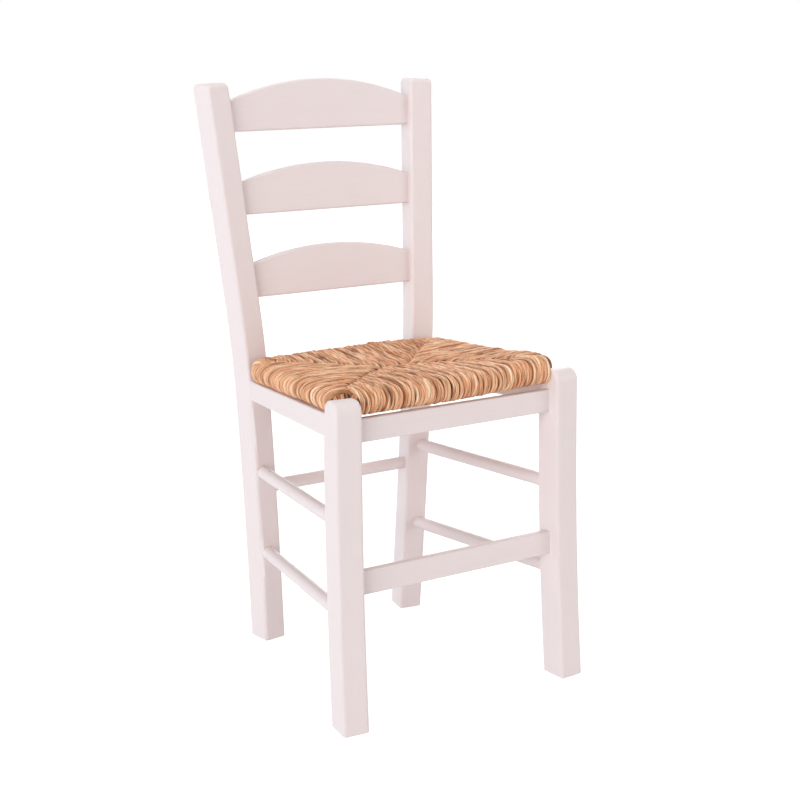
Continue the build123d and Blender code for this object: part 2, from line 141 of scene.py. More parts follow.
def new_material(name):
    material = bpy.data.materials.new(name)
    material.use_nodes = True
    tree = material.node_tree
    tree.nodes.clear()
    shader = node(tree, "ShaderNodeBsdfPrincipled", (600, 0))
    out = node(tree, "ShaderNodeOutputMaterial", (900, 0))
    wire(tree, shader.outputs[0], out.inputs[0])
    return material, tree, shader


# Noise lies mostly between these values, so tones are spread over them.
NOISE_LOW, NOISE_HIGH = 0.3, 0.7

# Wood grain: fine streaks and slow clouds, drawn out along the piece.
STREAK_NOISE = {"scale": 260, "detail": 5, "roughness": 0.6}
CLOUD_NOISE = {"scale": 22, "detail": 3}
GRAIN_STRETCH = 0.06


def build_grain_group():
    """Wood grain as it shows through paint or on a planed bar. Its coordinates come in stretched."""
    group = bpy.data.node_groups.new("wood_grain", "ShaderNodeTree")
    group.interface.new_socket("Vector", in_out="INPUT", socket_type="NodeSocketVector")
    group.interface.new_socket("Streaks", in_out="OUTPUT", socket_type="NodeSocketFloat")
    group.interface.new_socket("Clouds", in_out="OUTPUT", socket_type="NodeSocketFloat")
    start = node(group, "NodeGroupInput", (-600, 0))
    end = node(group, "NodeGroupOutput", (400, 0))
    streaks = noise(group, start.outputs[0], **STREAK_NOISE, place=(-200, 150))
    clouds = noise(group, start.outputs[0], **CLOUD_NOISE, place=(-200, -150))
    wire(group, streaks, end.inputs["Streaks"])
    wire(group, clouds, end.inputs["Clouds"])
    return group


grain_group = build_grain_group()


def grain(tree, along):
    """The outputs of the grain effect, stretched along one axis of the chair."""
    coords = node(tree, "ShaderNodeTexCoord", (-1200, 0))
    stretch = node(tree, "ShaderNodeMapping", (-1000, 0))
    scale = [1.0, 1.0, 1.0]
    scale["XYZ".index(along)] = GRAIN_STRETCH
    stretch.inputs["Scale"].default_value = scale
    wire(tree, coords.outputs["Object"], stretch.inputs["Vector"])
    effect = node(tree, "ShaderNodeGroup", (-800, 0), node_tree=grain_group)
    wire(tree, stretch.outputs[0], effect.inputs[0])
    return effect.outputs


PAINT_TONES = [(NOISE_LOW, (0.815, 0.723, 0.717)), (NOISE_HIGH, (0.83, 0.739, 0.735))]
PAINT_STREAKS = [(0.3, (0.985, 0.982, 0.982)), (0.6, (1, 1, 1))]
PAINT_ROUGHNESS = (0.38, 0.52)
PAINT_BUMP = {"strength": 0.12, "distance": 0.0006}
PAINT_SHINE = 0.4


def white_paint(name, along):
    """Satin white paint, faintly pink, with the grain just raised under it."""
    material, tree, shader = new_material(name)
    effect = grain(tree, along)
    streaks, clouds = effect["Streaks"], effect["Clouds"]
    tone = ramp(tree, clouds, PAINT_TONES, (-400, 200))
    streak_tone = ramp(tree, streaks, PAINT_STREAKS, (-400, 0))
    wire(tree, times(tree, tone, streak_tone, (0, 150)), shader.inputs["Base Color"])
    rough = map_range(tree, clouds, (NOISE_LOW, NOISE_HIGH), PAINT_ROUGHNESS, place=(0, -100))
    wire(tree, rough, shader.inputs["Roughness"])
    add_bump(tree, shader, streaks, **PAINT_BUMP)
    shader.inputs["Specular IOR Level"].default_value = PAINT_SHINE
    return material


WOOD_TONES = [(NOISE_LOW, (0.36, 0.22, 0.12)), (NOISE_HIGH, (0.62, 0.44, 0.27))]
WOOD_ROUGHNESS = 0.65
WOOD_BUMP = {"strength": 0.3, "distance": 0.0006}


def bare_wood(name, along):
    """Planed, unpainted wood of the hidden seat frame."""
    material, tree, shader = new_material(name)
    streaks = grain(tree, along)["Streaks"]
    wire(tree, ramp(tree, streaks, WOOD_TONES, (-400, 200)), shader.inputs["Base Color"])
    shader.inputs["Roughness"].default_value = WOOD_ROUGHNESS
    add_bump(tree, shader, streaks, **WOOD_BUMP)
    return material


STEEL_TONES = [(NOISE_LOW, (0.42, 0.42, 0.43)), (NOISE_HIGH, (0.66, 0.66, 0.65))]
SPANGLE_SCALE = 900
STEEL_ROUGHNESS = 0.35


def zinc_steel():
    """Zinc-plated steel of the seat screws."""
    material, tree, shader = new_material("zinc_steel")
    coords = node(tree, "ShaderNodeTexCoord", (-800, 0))
    spangle = noise(tree, coords.outputs["Object"], SPANGLE_SCALE, place=(-600, 0))
    wire(tree, ramp(tree, spangle, STEEL_TONES, (-300, 100)), shader.inputs["Base Color"])
    set_inputs(shader, {"Metallic": 1.0, "Roughness": STEEL_ROUGHNESS})
    return material


STRAW_TONES = [(NOISE_LOW, (0.16, 0.07, 0.03)), (NOISE_HIGH, (0.5, 0.28, 0.15))]
STRAW_NOISE = {"scale": 240, "detail": 5}
STRAW_ROUGHNESS = 0.8
STRAW_BUMP = {"strength": 1.0, "distance": 0.002}


def chopped_straw():
    """The stuffing: short bits of leaf, packed together."""
    material, tree, shader = new_material("chopped_straw")
    coords = node(tree, "ShaderNodeTexCoord", (-800, 0))
    bits = noise(tree, coords.outputs["Object"], **STRAW_NOISE, place=(-600, 0))
    wire(tree, ramp(tree, bits, STRAW_TONES, (-300, 100)), shader.inputs["Base Color"])
    shader.inputs["Roughness"].default_value = STRAW_ROUGHNESS
    add_bump(tree, shader, bits, **STRAW_BUMP)
    return material


# Tones of the rush from shade to shine, and the casts of single strands.
RUSH_TONES = [
    (0.04, (0.24, 0.085, 0.030)),
    (0.26, (0.56, 0.250, 0.120)),
    (0.47, (0.82, 0.420, 0.235)),
    (0.70, (0.95, 0.570, 0.340)),
    (0.94, (0.99, 0.760, 0.520)),
]
RUSH_CASTS = [
    (0.00, (0.86, 0.72, 0.62)),
    (0.22, (1.00, 0.96, 0.94)),
    (0.78, (1.00, 1.00, 1.00)),
    (1.00, (1.00, 1.07, 1.04)),
]

# Leaves round a strand and along a metre of it, and how far a leaf's ends lag behind its neighbour's.
LEAVES = 4
LEAVES_PER_METRE = 18
LEAF_LAG = 1.7

# How fast streaks and slow changes run along and round a strand. The shifts tell the strands apart.
STREAKS_ALONG = 38
STREAKS_AROUND = 22
STREAK_SHIFT = 137
RUSH_STREAK_NOISE = {"scale": 1.0, "detail": 4, "roughness": 0.65}
CHANGES_ALONG = 45
CHANGE_SHIFT = 53
OWN_TONE_SHIFT = 7.3

# What the leaf, the slow changes, the streaks and the strand itself add to the tone.
LEAF_SHARE = 0.60
CHANGE_SHARE = 0.80
STREAK_SHARE = 0.6
OWN_SHARE = 0.24
TONE_OFFSET = 0.64

# Painted shade: darker in the creases between leaves, and on the flanks of strands where they lie against
# their neighbours.
VALLEY_SHADE_REACH = 0.16
VALLEY_PAINTED_SHADE = 0.52
CREVICE_SHADE_FROM = 0.50
CREVICE_PAINTED_SHADE = 0.22
RUSH_ROUGHNESS = (0.45, 0.7)
RUSH_BUMP = {"strength": 0.5, "distance": 0.0008}
RUSH_SHINE = 0.35


def rush_straw():
    """Dry rush. The map runs along each strand and round it, so streaks follow the twist of the leaves."""
    material, tree, shader = new_material("dry_rush")
    coords = node(tree, "ShaderNodeTexCoord", (-1800, 0))
    strand = node(tree, "ShaderNodeAttribute", (-1800, -300), attribute_name="strand").outputs["Fac"]
    # Where shade is painted on a strand's flanks, between it and its neighbours.
    crevice_shade_mask = node(tree, "ShaderNodeAttribute", (-1800, -500), attribute_name="crevice_shade_mask").outputs["Fac"]
    parts = node(tree, "ShaderNodeSeparateXYZ", (-1600, 0))
    wire(tree, coords.outputs["UV"], parts.inputs[0])
    along, around = parts.outputs["X"], parts.outputs["Y"]

    # One leaf is one band of the map across the strand, with its own tone.
    bands = maths(tree, "MULTIPLY", around, LEAVES, (-1400, -200))
    lag = maths(tree, "MULTIPLY", around, LEAF_LAG, (-1400, -450))
    reach = maths(tree, "MULTIPLY", along, LEAVES_PER_METRE, (-1400, -350))
    reach = maths(tree, "ADD", reach, lag, (-1200, -400))
    leaf_spot = spot(
        tree,
        maths(tree, "FLOOR", bands, None, (-1200, -200)),
        strand,
        maths(tree, "FLOOR", reach, None, (-1100, -400)),
        (-1000, -250),
    )
    leaf_noise = node(tree, "ShaderNodeTexWhiteNoise", (-800, -250), noise_dimensions="3D")
    wire(tree, leaf_spot, leaf_noise.inputs["Vector"])
    leaf = leaf_noise.outputs["Value"]

    # Fine streaks along the leaf, and slow changes of tone along it.
    streak_spot = spot(
        tree,
        maths(tree, "MULTIPLY", along, STREAKS_ALONG, (-1400, 150)),
        maths(tree, "MULTIPLY", around, STREAKS_AROUND, (-1400, 50)),
        maths(tree, "MULTIPLY", strand, STREAK_SHIFT, (-1400, -50)),
        (-1000, 100),
    )
    streak = noise(tree, streak_spot, **RUSH_STREAK_NOISE, place=(-800, 150))
    change_spot = spot(
        tree,
        maths(tree, "MULTIPLY", along, CHANGES_ALONG, (-1400, 400)),
        leaf,
        maths(tree, "MULTIPLY", strand, CHANGE_SHIFT, (-1400, 300)),
        (-1000, 400),
    )
    change = noise(tree, change_spot, 1.0, place=(-800, 400))
    own = maths(tree, "MULTIPLY", strand, OWN_TONE_SHIFT, (-700, -50))
    own = maths(tree, "FRACT", own, None, (-550, -50))
    level = maths(tree, "MULTIPLY", leaf, LEAF_SHARE, (-550, -200))
    for i, (value, share) in enumerate(((change, CHANGE_SHARE), (streak, STREAK_SHARE), (own, OWN_SHARE))):
        part = maths(tree, "MULTIPLY", value, share, (-450, 350 - 150 * i))
        level = maths(tree, "ADD", level, part, (-350 + 75 * i, 100))
    level = maths(tree, "SUBTRACT", level, TONE_OFFSET, (-150, 0))
    tone = ramp(tree, level, RUSH_TONES, (-50, 150))

    # Some strands are redder, some paler.
    cast = ramp(tree, strand, RUSH_CASTS, (-50, 400))
    colour = times(tree, tone, cast, (200, 300))

    # Painted shade in the creases between leaves, and on strands' flanks where they lie against their
    # neighbours.
    from_valley = maths(tree, "FRACT", bands, None, (-400, -400))
    from_valley = maths(tree, "PINGPONG", from_valley, 0.5, (-250, -400))
    valley_shade = map_range(tree, from_valley, (0, VALLEY_SHADE_REACH), (VALLEY_PAINTED_SHADE, 1), "SMOOTHSTEP", (-100, -400))
    crevice_shade = map_range(tree, crevice_shade_mask, (CREVICE_SHADE_FROM, 1), (1, CREVICE_PAINTED_SHADE), "SMOOTHSTEP", (-100, -650))
    colour = times(tree, colour, valley_shade, (350, 200))
    colour = times(tree, colour, crevice_shade, (500, 200))
    wire(tree, colour, shader.inputs["Base Color"])
    add_bump(tree, shader, streak, **RUSH_BUMP)
    rough = map_range(tree, change, (0, 1), RUSH_ROUGHNESS, place=(100, -100))
    wire(tree, rough, shader.inputs["Roughness"])
    shader.inputs["Specular IOR Level"].default_value = RUSH_SHINE
    return material


# The seat's own frame, in mm: x across, y back from the legs' middles, h off the side rails.
LEG_MIDDLE_Y = -187.44
RAIL_TOP = 448.5
SEAT_SLOPE = math.atan2(15.5, 346)
SEAT_ACROSS = np.array([1, 0, 0])
SEAT_BACK = np.array([0, math.cos(SEAT_SLOPE), -math.sin(SEAT_SLOPE)])
SEAT_UP = np.array([0, math.sin(SEAT_SLOPE), math.cos(SEAT_SLOPE)])
SEAT_ORIGIN = np.array([0, LEG_MIDDLE_Y, RAIL_TOP])

# The outline of the rush, and the notches for the legs.
RUSH_FRONT = -12.0
RUSH_REAR = 320.0
NOTCH_X = 157.0
NOTCH_Y = 25.3
FRONT_LEFT = -154.6
FRONT_RIGHT = 160.5
HALF_WIDTH_FRONT = 191.0
HALF_WIDTH_REAR = 171.0

# The rounded edge: its height, how far in its upper curve sweeps, and the fall of the rush from there.
EDGE_HEIGHT = 36.5
EDGE_SWEEP = 18.0
SHORT_SWEEP_SHARE = 0.6
NOSE_POWER = 0.92
FALL = 0.058
LEAST_FLAT = 0.5
UNDER_GAP = 0.4
FLAT_POINTS = 60
TURN_POINTS = 80

# Some edges slope down to the outside. The front edge's slope turns into a rise towards its right end.
DROOP = 8.0
FRONT_END_DROOP = -6.0
DROOP_RUN = 65.0
DROOP_POWER = 1.5
DROOP_CHANGE_POWER = 3

# Strands go down between their neighbours at the seams.
DIVE_RUN = 12.0
DIVE_TOP = (5.0, 11.0)
DIVE_UNDER = 4.0

# The winding is uneven: high behind the right leg and along the back, though less at the back's ends.
HUMP = {"rise": 6.5, "x": 168.0, "y": 36.0, "wide": 42.0, "deep": 38.0}
BACK_RISE = 4.7
BACK_FROM, BACK_RUN = 230, 60
BACK_LEFT_FALL = 2.8
BACK_LEFT_FROM, BACK_LEFT_RUN = -30, 70
BACK_RIGHT_FROM, BACK_RIGHT_RUN = 40, 110

# Its underside sags along the front and is raised at the right end of the front edge.
FRONT_SAG = 2.8
FRONT_END_RISE = 5.0
FRONT_SAG_FROM, FRONT_SAG_RUN = 10, 60

# At the ends of an edge the strands fan out. The rear corners are rounded in plan and a little lower.
END_RUN = 34.0
REAR_END = {"inset": 11.0, "drop": 3.0, "fan": 0.5, "overlap": 0.0}
LEG_END = {"inset": 0.0, "drop": 0.0, "fan": 0.08, "overlap": 8.0}
NOTCH_END = {"inset": 1.5, "drop": 1.0, "fan": 0.0, "overlap": 6.0}
RIGHT_NOTCH_END = {"inset": 3.0, "drop": 3.5, "fan": 0.0, "overlap": 6.0}

# How far in the strands of an edge may run, the steps in which that is found, and by how much each differs.
LONGEST_REACH = 220
REACH_STEP = 0.5
LEAST_REACH = 6
REACH_SPREAD = (-1, 3)

# Fans of strands round the rear corners, and short strands over the bars behind the legs.
CORNER_CENTRE = (146.5, 296.5)
CORNER_RADIUS = 21.0
CORNER_REACH = 46.0
CORNER_ANGLES = (8, 27, 45, 63, 82)
CORNER_DROP = 2.0
CORNER_WIDENING = 1.2
BEHIND_LEG_Y = 20.5
BEHIND_LEG_HEIGHT = 32.0
BEHIND_LEG_FALL = 2.5
BEHIND_LEG_REACH = 19.0
BEHIND_LEG_WIDTH = 4.4
BEHIND_LEG_END = 179.0
BESIDE_LEG_X = 157.4
BESIDE_LEG_START = 2.8
BESIDE_LEG_HEIGHT = 29.0
BESIDE_LEG_REACH = 18.0

# The seams of the weave, as half width and depth, from where the four panels meet to the corners.
FRONT_SEAMS = {
    -1: [(20, 166), (84, 107), (128, 62), (NOTCH_X, NOTCH_Y)],
    1: [(25, 165), (79, 122), (108, 88), (131, 57), (NOTCH_X, NOTCH_Y)],
}
REAR_SEAMS = {
    -1: [(20, 166), (68, 212), (100, 245), (149, 275), (HALF_WIDTH_REAR, RUSH_REAR)],
    1: [(25, 165), (72, 220), (128, 280), (HALF_WIDTH_REAR, RUSH_REAR)],
}

# One strand: its size, its mesh, and how closely its rings stand where it bends.
STRAND_THICK = 7.0
STRAND_WIDTH = 6.6
STRAND_SIDES = 18
STRAND_RINGS = 72
BEND_WEIGHT = 9

# Each strand wanders sideways, lies higher or lower, and is wider and thicker in some places.
STATION_SPREAD = 0.1
WANDER = 1.3
WANDER_RUN = 38
LIE = 1.2
WIDTH_SPREAD = (0.92, 1.18)
WIDTH_SWELL = 0.18
WIDTH_RUN = 24
THICK_SPREAD = (0.94, 1.16)
THICK_SWELL = 0.12
THICK_RUN = 32
# How strongly shade is painted on a strand's flanks, between it and its neighbours.
CREVICE_SHADE_SPREAD = (0.6, 1.0)

# Its ends taper, its leaves wind round it as ridges, and its section is squarer than an ellipse.
END_SIZE = 0.55
END_GROWTH = 0.45
END_TAPER = 5.0
TWIST_PITCH = (75, 150)
RIDGE_LOW = 0.84
RIDGE_RISE = 0.24
RIDGE_POWER = 0.7
SIDE_POWER = 0.85
CROWN_POWER = 0.9
MAP_STEP = 3.0

# The slow wander runs between knots, and stops just short of the last but one.
LEAST_KNOTS = 3
KNOTS_LEFT = 1.001


def signed_power(values, power):
    return np.sign(values) * np.abs(values) ** power


def smooth_step(values):
    share = np.clip(values, 0, 1)
    return share * share * (3 - 2 * share)


def smooth_noise(length, run):
    """A slow wander along a strand, ring by ring."""
    knots = max(LEAST_KNOTS, int(length / run) + 2)
    values = np.array([draw.uniform(-1, 1) for _ in range(knots + 1)])
    at = np.linspace(0, knots - KNOTS_LEFT, STRAND_RINGS)
    base = at.astype(int)
    share = smooth_step(at - base)
    return values[base] * (1 - share) + values[base + 1] * share


def uneven(length, spread, swell, run):
    """A strand's own size, as a share of the usual one, and its slow changes along the strand."""
    return draw.uniform(*spread) + swell * smooth_noise(length, run)


def unit_rows(vectors):
    return vectors / np.linalg.norm(vectors, axis=1)[:, None]


def seam_depth(seams, x):
    """The depth of a seam at a place across the seat."""
    points = [(-w, y) for w, y in reversed(seams[-1])] + seams[1]
    return float(np.interp(x, [p[0] for p in points], [p[1] for p in points]))


def seam_half_width(side, y):
    """The half width at which a side panel meets its neighbours at a depth."""
    seams = FRONT_SEAMS[side] if y < FRONT_SEAMS[side][0][1] else REAR_SEAMS[side]
    points = sorted(seams, key=lambda p: p[1])
    return float(np.interp(y, [p[1] for p in points], [p[0] for p in points]))


def in_front(point):
    return point[1] < seam_depth(FRONT_SEAMS, point[0])


def behind(point):
    return point[1] > seam_depth(REAR_SEAMS, point[0])


def at_side(side):
    def within(point):
        return side * point[0] > seam_half_width(side, point[1])
    return within


def rises(plan):
    """How much higher than its even shape the rush lies at points of its plan: the top, the underside."""
    x, y = plan.T
    off_hump = ((x - HUMP["x"]) / HUMP["wide"]) ** 2 + ((y - HUMP["y"]) / HUMP["deep"]) ** 2
    hump = HUMP["rise"] * np.exp(-off_hump / 2)
    back = BACK_RISE - BACK_LEFT_FALL * (1 - smooth_step((x - BACK_LEFT_FROM) / BACK_LEFT_RUN))
    back = back * smooth_step((y - BACK_FROM) / BACK_RUN)
    back = back * (1 - smooth_step((x - BACK_RIGHT_FROM) / BACK_RIGHT_RUN))
    under = FRONT_END_RISE * np.clip(x / NOTCH_X, 0, 1) - FRONT_SAG
    under = under * np.clip(1 - (y - FRONT_SAG_FROM) / FRONT_SAG_RUN, 0, 1)
    return hump + back, under


class Course:
    """The way of one strand, seen from above: where its edge is, which way is inward, how far it runs."""

    def __init__(self, start, inward, reach, drift=0.0, inset=0.0, drop=0.0, height=EDGE_HEIGHT):
        self.start = np.array(start, float)
        self.inward = np.array(inward, float)
        self.aside = np.array([self.inward[1], -self.inward[0]])
        self.reach = reach
        self.drift = drift
        self.inset = inset
        self.drop = drop
        self.height = height
        # How strongly shade is painted on this strand's flanks.
        self.crevice_shade = draw.uniform(*CREVICE_SHADE_SPREAD)
        self.droop = 0.0

    def plan(self, d, wander):
        return self.start + np.outer(d, self.inward) + np.outer(wander + self.drift * d, self.aside)


class Edge:
    """One edge of the seat: its start and end, what lies within its panel, its ends' forms and its slope."""

    def __init__(self, start, end, within, first_end, last_end, droop):
        self.start = np.array(start, float)
        span = np.array(end, float) - self.start
        self.length = float(np.hypot(*span))
        self.along = span / self.length
        self.inward = np.array([-self.along[1], self.along[0]])
        self.within = within
        self.droop_first, self.droop_last = droop
        self.ends = ((0.0, 1.0, first_end), (self.length, -1.0, last_end))

    def course(self, s):
        """The way of the strand at a station along the edge, or none where the panel is too short."""
        drift = inset = drop = overlap = 0.0
        for station, away, end in self.ends:
            near = max(0.0, 1 - abs(s - station) / END_RUN)
            drift += away * near * end["fan"]
            inset += end["inset"] * near**2
            drop += end["drop"] * near**2
            overlap += end["overlap"] * near**2
        start = self.start + self.along * s
        reach = 1.0
        while reach < LONGEST_REACH:
            if not self.within(start + self.inward * reach + self.along * drift * reach):
                break
            reach += REACH_STEP
        if reach < inset + LEAST_REACH:
            return None
        reach = reach + overlap + draw.uniform(*REACH_SPREAD)
        course = Course(start, self.inward, reach, drift, inset, drop)
        gone_along = (s / self.length) ** DROOP_CHANGE_POWER
        course.droop = self.droop_first + (self.droop_last - self.droop_first) * gone_along
        return course


def unit_strand():
    """One straight strand of unit size, standing on Z, cut into rings. All strands are copies of it."""
    deselect()
    bpy.ops.mesh.primitive_cylinder_add(vertices=STRAND_SIDES, radius=1, depth=1, end_fill_type="TRIFAN")
    piece = bpy.context.object
    bpy.ops.object.mode_set(mode="EDIT")
    bpy.ops.mesh.select_mode(type="EDGE")
    bpy.ops.mesh.select_all(action="DESELECT")
    bpy.ops.object.mode_set(mode="OBJECT")
    mesh = piece.data
    for edge in mesh.edges:
        a, b = (mesh.vertices[i].co for i in edge.vertices)
        edge.select = abs(a.z - b.z) > 0.5
    bpy.ops.object.mode_set(mode="EDIT")
    bpy.ops.mesh.subdivide(number_cuts=STRAND_RINGS - 2)
    bpy.ops.object.mode_set(mode="OBJECT")
    bpy.ops.object.shade_smooth()
    return piece


def read_unit(piece):
    """The angle, ring and distance out of each point of the unit strand, and each face corner's angle."""
    mesh = piece.data
    co = np.empty(len(mesh.vertices) * 3)
    mesh.vertices.foreach_get("co", co)
    co = co.reshape(-1, 3)
    # Angles start at the side that faces the stuffing, so that the map's own seam is hidden.
    angle = np.mod(np.arctan2(co[:, 1], co[:, 0]) + math.pi / 2, FULL_TURN)
    ring = np.rint((co[:, 2] + 0.5) * (STRAND_RINGS - 1)).astype(int)
    out = np.hypot(co[:, 0], co[:, 1])
    corners = np.empty(len(mesh.loops), dtype=int)
    mesh.loops.foreach_get("vertex_index", corners)
    corner_angle = angle[corners].copy()
    for face in mesh.polygons:
        span = list(face.loop_indices)
        values = corner_angle[span]
        if values.max() - values.min() > math.pi:
            values[values < math.pi] += FULL_TURN
            corner_angle[span] = values
    return angle, ring, out, corners, corner_angle


def loop_profile(reach, height, droop):
    """The middle line of a strand round an edge: inward distance and height, from seam to seam."""
    half_thick = STRAND_THICK / 2
    nose = height / 2
    r = nose - half_thick
    sweep = min(EDGE_SWEEP, max(r, SHORT_SWEEP_SHARE * reach))
    shoulder = half_thick + sweep
    inner_end = max(reach, shoulder + LEAST_FLAT)
    d_top = np.linspace(inner_end, shoulder, FLAT_POINTS)
    top = np.stack([d_top, height - half_thick - FALL * (d_top - shoulder)], 1)
    turn = np.linspace(math.pi / 2, 3 * math.pi / 2, TURN_POINTS)[1:-1]
    outward = signed_power(np.cos(turn), NOSE_POWER)
    upward = signed_power(np.sin(turn), NOSE_POWER)
    d_front = np.where(upward > 0, shoulder + sweep * outward, nose + r * outward)
    front = np.stack([d_front, nose + r * upward], 1)
    d_low = np.linspace(nose, inner_end, FLAT_POINTS)
    low = np.stack([d_low, np.full(FLAT_POINTS, half_thick + UNDER_GAP)], 1)
    line = np.concatenate([top, front, low])
    near_edge = np.clip(1 - line[:, 0] / DROOP_RUN, 0, 1) ** DROOP_POWER
    line[:, 1] -= droop * near_edge * np.clip(line[:, 1] / nose - 1, 0, 1)
    line = line[line[:, 0] <= reach]
    gone = np.clip(1 - (reach - line[:, 0]) / DIVE_RUN, 0, 1) ** 2
    line[:, 1] -= np.where(line[:, 1] > nose, draw.uniform(*DIVE_TOP), -DIVE_UNDER) * gone
    return line


def spaced(line, count):
    """Points along a line, close together where it bends."""
    step = np.diff(line, axis=0)
    length = np.hypot(*step.T)
    heading = np.unwrap(np.arctan2(step[:, 1], step[:, 0]))
    bend = np.concatenate([[0], np.abs(np.diff(heading))])
    weight = np.concatenate([[0], np.cumsum(length + BEND_WEIGHT * bend)])
    run = np.concatenate([[0], np.cumsum(length)])
    at = np.interp(np.linspace(0, weight[-1], count), weight, run)
    return np.stack([np.interp(at, run, line[:, i]) for i in (0, 1)], 1), at


def strand_path(course):
    """A strand's middle line on the chair, the run along it, and the ways across and out of it."""
    line, run = spaced(loop_profile(course.reach, course.height, course.droop), STRAND_RINGS)
    d, h = line.T
    d = d + course.inset * np.clip(1 - d / course.reach, 0, 1)
    plan = course.plan(d, smooth_noise(run[-1], WANDER_RUN) * WANDER)
    top, under = rises(plan)
    top = top + draw.uniform(-LIE, LIE) - course.drop
    h = under + h * (course.height + top - under) / course.height
    path = SEAT_ORIGIN + np.outer(plan[:, 0], SEAT_ACROSS) + np.outer(plan[:, 1], SEAT_BACK)
    path = path + np.outer(h, SEAT_UP)
    tangent = unit_rows(np.gradient(path, axis=0))
    side = course.aside[0] * SEAT_ACROSS + course.aside[1] * SEAT_BACK
    normal = unit_rows(np.cross(side, tangent))
    return path, run, np.cross(normal, tangent), normal


def tag_points(mesh, name, values):
    tag = mesh.attributes.new(name, "FLOAT", "POINT")
    tag.data.foreach_set("value", values)


def lay_strand(unit, facts, course, width, number):
    """A copy of the unit strand, laid along its course."""
    angle, ring, out, corners, corner_angle = facts
    path, run, across, normal = strand_path(course)
    length = run[-1]
    half_width = width / 2 * uneven(length, WIDTH_SPREAD, WIDTH_SWELL, WIDTH_RUN)
    half_height = STRAND_THICK / 2 * uneven(length, THICK_SPREAD, THICK_SWELL, THICK_RUN)
    taper = END_SIZE + END_GROWTH * np.sqrt(np.clip(np.minimum(run, length - run) / END_TAPER, 0, 1))
    twist = draw.uniform(0, FULL_TURN) + run * FULL_TURN / draw.uniform(*TWIST_PITCH)
    ridge = RIDGE_LOW + RIDGE_RISE * np.abs(np.sin(LEAVES / 2 * (angle - twist[ring]))) ** RIDGE_POWER
    true_angle = angle - math.pi / 2
    spread = out * ridge * taper[ring]
    sideways = half_width[ring] * signed_power(np.cos(true_angle), SIDE_POWER) * spread
    outward = half_height[ring] * signed_power(np.sin(true_angle), CROWN_POWER) * spread
    points = path[ring] + across[ring] * sideways[:, None] + normal[ring] * outward[:, None]
    mesh = unit.data.copy()
    mesh.vertices.foreach_set("co", (points / MM_PER_M).ravel())
    corner_ring = ring[corners]
    turns = (corner_angle - twist[corner_ring]) / FULL_TURN + number * MAP_STEP
    places = np.stack([run[corner_ring] / MM_PER_M, turns], 1)
    mesh.uv_layers.active.data.foreach_set("uv", places.ravel())
    tag_points(mesh, "strand", np.full(len(mesh.vertices), draw.random()))
    # Painted shade on the flanks, where the strand lies against its neighbours.
    tag_points(mesh, "crevice_shade_mask", np.abs(np.cos(true_angle)) * course.crevice_shade)
    mesh.update()
    piece = bpy.data.objects.new("strand", mesh)
    bpy.context.collection.objects.link(piece)
    return piece


def edge_courses(edge):
    """The strands side by side along one edge. The first and last, at the panel's ends, get no painted shade
    on their flanks.
    """
    count = round(edge.length / STRAND_WIDTH)
    width = edge.length / count
    stations = [(i + 0.5 + draw.uniform(-STATION_SPREAD, STATION_SPREAD)) * width for i in range(count)]
    courses = [course for course in map(edge.course, stations) if course is not None]
    # The first and last strands get no painted shade on their flanks.
    for course in (courses[0], courses[-1]):
        course.crevice_shade = 0.0
    return [(course, width) for course in courses]


def corner_courses(side):
    """The strands that fan round a rear corner."""
    centre = np.array([side * CORNER_CENTRE[0], CORNER_CENTRE[1]])
    found = []
    for degrees in CORNER_ANGLES:
        outward = np.array([side * math.cos(math.radians(degrees)), math.sin(math.radians(degrees))])
        course = Course(centre + outward * CORNER_RADIUS, -outward, CORNER_REACH, drop=CORNER_DROP)
        found.append((course, STRAND_WIDTH * CORNER_WIDENING))
    return found


def behind_leg_courses(side):
    """Short strands over the bar behind a front leg, under the side panel's first strands."""
    count = round((BEHIND_LEG_END - NOTCH_X) / BEHIND_LEG_WIDTH)
    found = []
    for i in range(count):
        start = (side * (NOTCH_X + (i + 0.5) * BEHIND_LEG_WIDTH), BEHIND_LEG_Y)
        height = BEHIND_LEG_HEIGHT - BEHIND_LEG_FALL * i / (count - 1)
        found.append((Course(start, (0, 1), BEHIND_LEG_REACH, height=height), BEHIND_LEG_WIDTH))
    return found


def beside_leg_courses(side):
    """Short strands over the end of the front bar beside a front leg, under the front panel's first ones."""
    count = round((BEHIND_LEG_Y - BESIDE_LEG_START) / BEHIND_LEG_WIDTH)
    found = []
    for i in range(count):
        start = (side * BESIDE_LEG_X, BESIDE_LEG_START + (i + 0.5) * BEHIND_LEG_WIDTH)
        course = Course(start, (-side, 0), BESIDE_LEG_REACH, height=BESIDE_LEG_HEIGHT)
        found.append((course, BEHIND_LEG_WIDTH))
    return found


def wind_panel(name, unit, facts, courses, material):
    """All the strands of one panel, joined into one piece."""
    strands = [lay_strand(unit, facts, course, width, i) for i, (course, width) in enumerate(courses)]
    deselect()
    for strand in strands:
        strand.select_set(True)
    bpy.context.view_layer.objects.active = strands[0]
    bpy.ops.object.join()
    piece = bpy.context.object
    piece.name = name
    piece.data.name = name
    dress(piece, material)
    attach(piece, "root")
    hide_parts(f"{name}_panel")


